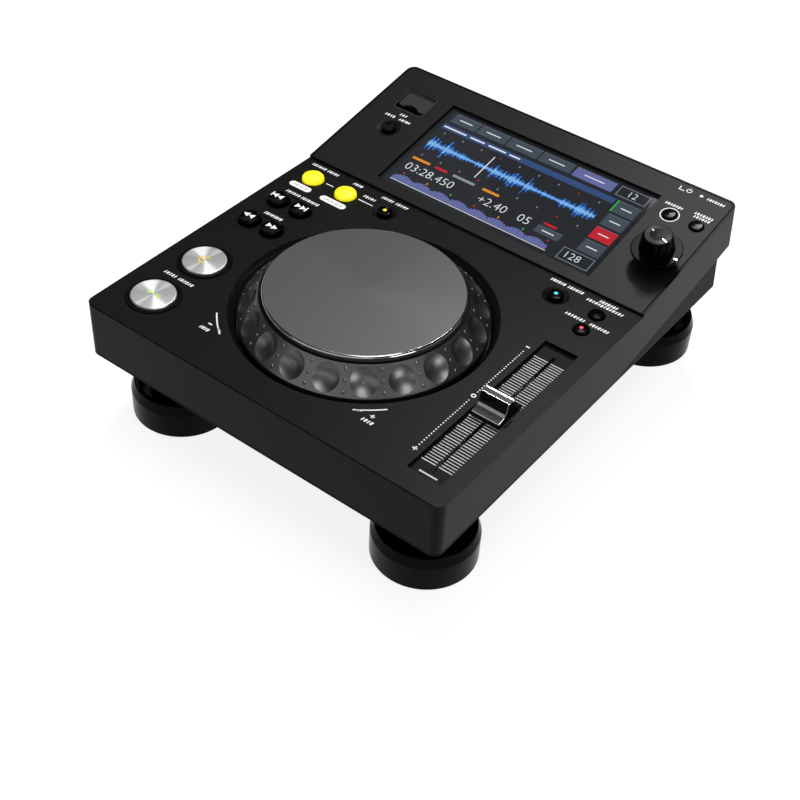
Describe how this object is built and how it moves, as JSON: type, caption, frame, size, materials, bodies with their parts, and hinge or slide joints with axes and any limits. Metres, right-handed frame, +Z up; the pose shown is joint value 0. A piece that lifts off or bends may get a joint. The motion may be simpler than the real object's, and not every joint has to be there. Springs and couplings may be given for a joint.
{
  "type": "dj media player",
  "caption": "Tabletop DJ media player: flat deck with dimpled jog wheel, tempo fader and press keys, tilted display panel with rotary selector, and round feet.",
  "frame": {"origin": "centre of the bounding box on the surface that the feet stand on", "axes": "+Z up, +Y from the front edge to the back with the sockets, +X to the right as seen by the user"},
  "size_m": [0.24, 0.298, 0.1127],
  "materials": {
    "housing": "fine matt black, lightly brushed on the deck",
    "chassis": "matt black",
    "panel": "satin dark grey",
    "screen_glass": "clear touch glass",
    "display": "lit display",
    "jog_plastic": "satin black",
    "jog_metal": "spun grey",
    "silver_key": "spun aluminium",
    "gloss_black": "glossy black",
    "yellow_key": "lit yellow",
    "steel": "bare steel",
    "bush": "sintered bronze",
    "inner_plastic": "moulded plastic",
    "socket_metal": "plated sheet metal",
    "phono_plating": "gold plated",
    "circuit_board": "green lacquer",
    "lamp": "clear lens",
    "foot_plastic": "satin black",
    "rubber": "matt rubber"
  },
  "bodies": {
    "housing": {"top_shell": "housing", "bottom_chassis": "chassis", "display_panel": "panel", "touch_glass": "screen_glass", "lcd_module": "display", "display_bracket": "steel", "jog_well": "housing", "jog_bearing": "bush", "jog_sensor": "inner_plastic", "fader_plate": "housing", "fader_body": "steel", "play_bezel": "housing", "cue_bezel": "housing", "selector_encoder": "inner_plastic", "usb_bay": "housing", "usb_socket": "socket_metal", "cover_pin": "steel", "standby_lamp": "lamp", "phono_jacks": "phono_plating", "usb_b_socket": "socket_metal", "lan_socket": "socket_metal", "dc_inlet": "inner_plastic", "key_boards": "circuit_board", "panel_boards": "circuit_board", "main_board": "circuit_board", "jack_board": "circuit_board", "key_switches": "inner_plastic", "foot_front_left": "foot_plastic", "foot_front_right": "foot_plastic", "foot_rear_left": "foot_plastic", "foot_rear_right": "foot_plastic", "foot_pads": "rubber", "foot_screws": "steel", "case_screws": "steel"},
    "jog_wheel": {"jog_ring": "jog_plastic", "jog_top": "jog_metal", "jog_shaft": "steel", "encoder_disc": "inner_plastic"},
    "tempo_slider": {"fader_cap": "gloss_black", "fader_stem": "steel"},
    "selector_push": {"selector_plunger": "inner_plastic"},
    "selector_turn": {"selector_knob": "gloss_black", "selector_shaft": "steel"},
    "usb_flap": {"usb_cover": "panel"},
    "power_key": {"power_button": "gloss_black"},
    "play_key": {"play_button": "silver_key"},
    "cue_key": {"cue_button": "silver_key"},
    "search_back_key": {"search_back": "gloss_black"},
    "search_forward_key": {"search_forward": "gloss_black"},
    "track_back_key": {"track_back": "gloss_black"},
    "track_forward_key": {"track_forward": "gloss_black"},
    "loop_in_key": {"loop_in": "yellow_key"},
    "loop_out_key": {"loop_out": "yellow_key"},
    "reloop_key": {"reloop_button": "gloss_black"},
    "vinyl_key": {"vinyl_button": "gloss_black"},
    "range_key": {"range_button": "gloss_black"},
    "master_key": {"master_button": "gloss_black"},
    "stop_key": {"stop_button": "gloss_black"},
    "back_key": {"back_button": "gloss_black"},
    "tag_key": {"tag_button": "gloss_black"}
  },
  "joints": [
    {"name": "jog_spin", "type": "hinge", "parent": "housing", "child": "jog_wheel", "pos_m": [-0.0001, -0.05594, 0.0825], "axis": [0, 0, 1], "continuous": true},
    {"name": "tempo_slide", "type": "slide", "parent": "housing", "child": "tempo_slider", "axis": [0, 1, 0], "range_m": [-0.05, 0.05]},
    {"name": "play_press", "type": "slide", "parent": "housing", "child": "play_key", "axis": [0, 0, -1], "range_m": [0, 0.001], "stiffness_N_per_m": 600, "springref_m": -0.0005},
    {"name": "cue_press", "type": "slide", "parent": "housing", "child": "cue_key", "axis": [0, 0, -1], "range_m": [0, 0.001], "stiffness_N_per_m": 600, "springref_m": -0.0005},
    {"name": "search_back_press", "type": "slide", "parent": "housing", "child": "search_back_key", "axis": [0, 0, -1], "range_m": [0, 0.001], "stiffness_N_per_m": 400, "springref_m": -0.0005},
    {"name": "search_forward_press", "type": "slide", "parent": "housing", "child": "search_forward_key", "axis": [0, 0, -1], "range_m": [0, 0.001], "stiffness_N_per_m": 400, "springref_m": -0.0005},
    {"name": "track_back_press", "type": "slide", "parent": "housing", "child": "track_back_key", "axis": [0, 0, -1], "range_m": [0, 0.001], "stiffness_N_per_m": 400, "springref_m": -0.0005},
    {"name": "track_forward_press", "type": "slide", "parent": "housing", "child": "track_forward_key", "axis": [0, 0, -1], "range_m": [0, 0.001], "stiffness_N_per_m": 400, "springref_m": -0.0005},
    {"name": "loop_in_press", "type": "slide", "parent": "housing", "child": "loop_in_key", "axis": [0, 0, -1], "range_m": [0, 0.001], "stiffness_N_per_m": 400, "springref_m": -0.0005},
    {"name": "loop_out_press", "type": "slide", "parent": "housing", "child": "loop_out_key", "axis": [0, 0, -1], "range_m": [0, 0.001], "stiffness_N_per_m": 400, "springref_m": -0.0005},
    {"name": "reloop_press", "type": "slide", "parent": "housing", "child": "reloop_key", "axis": [0, 0, -1], "range_m": [0, 0.001], "stiffness_N_per_m": 400, "springref_m": -0.0004},
    {"name": "vinyl_press", "type": "slide", "parent": "housing", "child": "vinyl_key", "axis": [0, 0, -1], "range_m": [0, 0.001], "stiffness_N_per_m": 400, "springref_m": -0.0004},
    {"name": "range_press", "type": "slide", "parent": "housing", "child": "range_key", "axis": [0, 0, -1], "range_m": [0, 0.001], "stiffness_N_per_m": 400, "springref_m": -0.0004},
    {"name": "master_press", "type": "slide", "parent": "housing", "child": "master_key", "axis": [0, 0, -1], "range_m": [0, 0.001], "stiffness_N_per_m": 400, "springref_m": -0.0004},
    {"name": "stop_press", "type": "slide", "parent": "housing", "child": "stop_key", "axis": [0, 0.1822, -0.9833], "range_m": [0, 0.001], "stiffness_N_per_m": 400, "springref_m": -0.0004},
    {"name": "back_press", "type": "slide", "parent": "housing", "child": "back_key", "axis": [0, 0.1822, -0.9833], "range_m": [0, 0.001], "stiffness_N_per_m": 400, "springref_m": -0.0004},
    {"name": "tag_press", "type": "slide", "parent": "housing", "child": "tag_key", "axis": [0, 0.1822, -0.9833], "range_m": [0, 0.001], "stiffness_N_per_m": 400, "springref_m": -0.0004},
    {"name": "selector_press", "type": "slide", "parent": "housing", "child": "selector_push", "axis": [0, 0.1822, -0.9833], "range_m": [0, 0.0005], "stiffness_N_per_m": 900, "springref_m": -0.0006},
    {"name": "selector_rotate", "type": "hinge", "parent": "selector_push", "child": "selector_turn", "pos_m": [0.1037, 0.07841, 0.09123], "axis": [0, -0.1822, 0.9833], "continuous": true},
    {"name": "usb_flap_hinge", "type": "hinge", "parent": "housing", "child": "usb_flap", "pos_m": [-0.0947, 0.12231, 0.09773], "axis": [-1, 0, 0], "range_deg": [0, 95]},
    {"name": "power_press", "type": "slide", "parent": "housing", "child": "power_key", "axis": [0, -1, 0], "range_m": [0, 0.001], "stiffness_N_per_m": 400, "springref_m": -0.0004}
  ]
}
